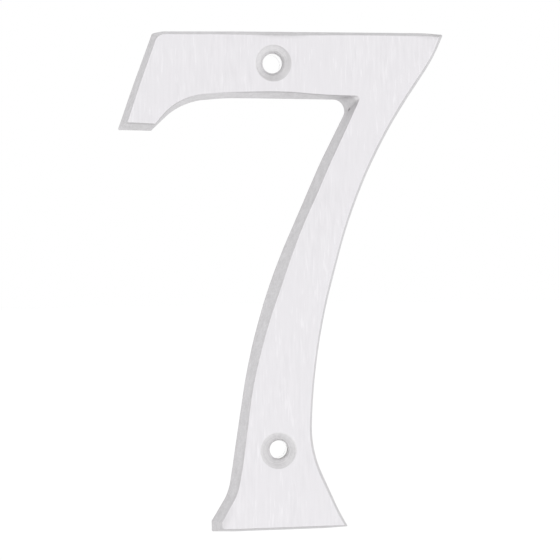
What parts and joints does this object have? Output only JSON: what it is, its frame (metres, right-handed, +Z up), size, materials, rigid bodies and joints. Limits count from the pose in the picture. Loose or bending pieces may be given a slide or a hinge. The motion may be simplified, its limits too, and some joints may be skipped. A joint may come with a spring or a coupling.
{
  "type": "house number",
  "caption": "Flat cast metal numeral for a house front or door, with drafted side walls, a brushed face and countersunk screw holes.",
  "frame": {"origin": "midway between the two screw holes, on the back face that lies against the wall", "axes": "+X to the right as the numeral is read, +Y into the wall, +Z up"},
  "size_m": [0.0679, 0.0047, 0.1016],
  "materials": {
    "casting": "brushed face, satin cast walls"
  },
  "bodies": {
    "root": {"numeral_seven": "casting"}
  },
  "joints": []
}
